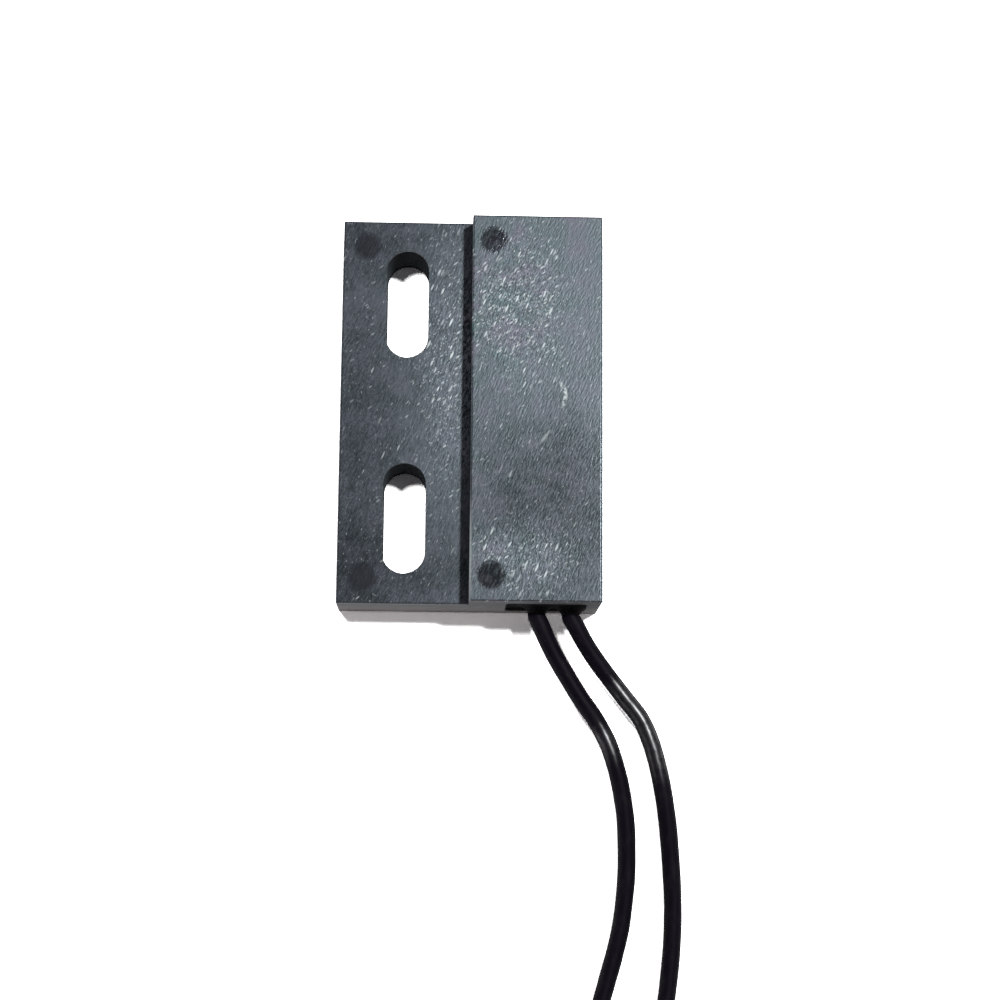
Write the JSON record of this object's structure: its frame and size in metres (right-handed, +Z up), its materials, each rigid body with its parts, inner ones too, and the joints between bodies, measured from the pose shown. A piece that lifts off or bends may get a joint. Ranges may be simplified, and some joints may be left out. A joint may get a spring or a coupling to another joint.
{
  "type": "flange mount reed sensor",
  "caption": "Low moulded reed sensor with a slotted mounting flange, a raised block that holds a potted glass reed switch, and two insulated leads.",
  "frame": {"origin": "centre of the housing's mounting face, which lies on the surface that it is screwed to", "axes": "+X from the flange to the raised block, +Y along the housing away from the leads, +Z up from the mounting face"},
  "size_m": [0.0262, 0.0868, 0.0063],
  "materials": {
    "moulded_plastic": "dark grey fibre-filled moulding, matte with light flecks",
    "potting_epoxy": "black cast epoxy, satin",
    "switch_glass": "clear glass with a green tint",
    "reed_alloy": "nickel iron wire",
    "blade_plating": "plated contact blade",
    "solder": "bright solder",
    "copper": "stranded copper",
    "lead_insulation": "black flexible plastic, semi-gloss",
    "tie_nylon": "black nylon",
    "tinned_wire": "tinned strands"
  },
  "bodies": {
    "sensor": {"housing": "moulded_plastic", "potting": "potting_epoxy", "glass_capsule": "switch_glass", "near_reed": "reed_alloy", "far_reed": "reed_alloy", "near_solder": "solder", "far_solder": "solder", "near_conductor": "copper", "far_conductor": "copper", "near_jacket": "lead_insulation", "far_jacket": "lead_insulation", "near_lead": "lead_insulation", "far_lead": "lead_insulation", "lead_coil": "lead_insulation", "coil_tie": "tie_nylon", "near_tail": "lead_insulation", "far_tail": "lead_insulation", "near_tip": "tinned_wire", "far_tip": "tinned_wire"},
    "near_blade": {"near_blade": "blade_plating"},
    "far_blade": {"far_blade": "blade_plating"}
  },
  "joints": [
    {"name": "near_blade_flex", "type": "hinge", "parent": "sensor", "child": "near_blade", "pos_m": [0.00434, -0.00488, 0.00332], "axis": [-1, 0, 0], "range_deg": [0, 0.57], "stiffness_Nm_per_rad": 0.02},
    {"name": "far_blade_flex", "type": "hinge", "parent": "sensor", "child": "far_blade", "pos_m": [0.00434, 0.00411, 0.00302], "axis": [-1, 0, 0], "range_deg": [0, 0.57], "stiffness_Nm_per_rad": 0.02}
  ]
}
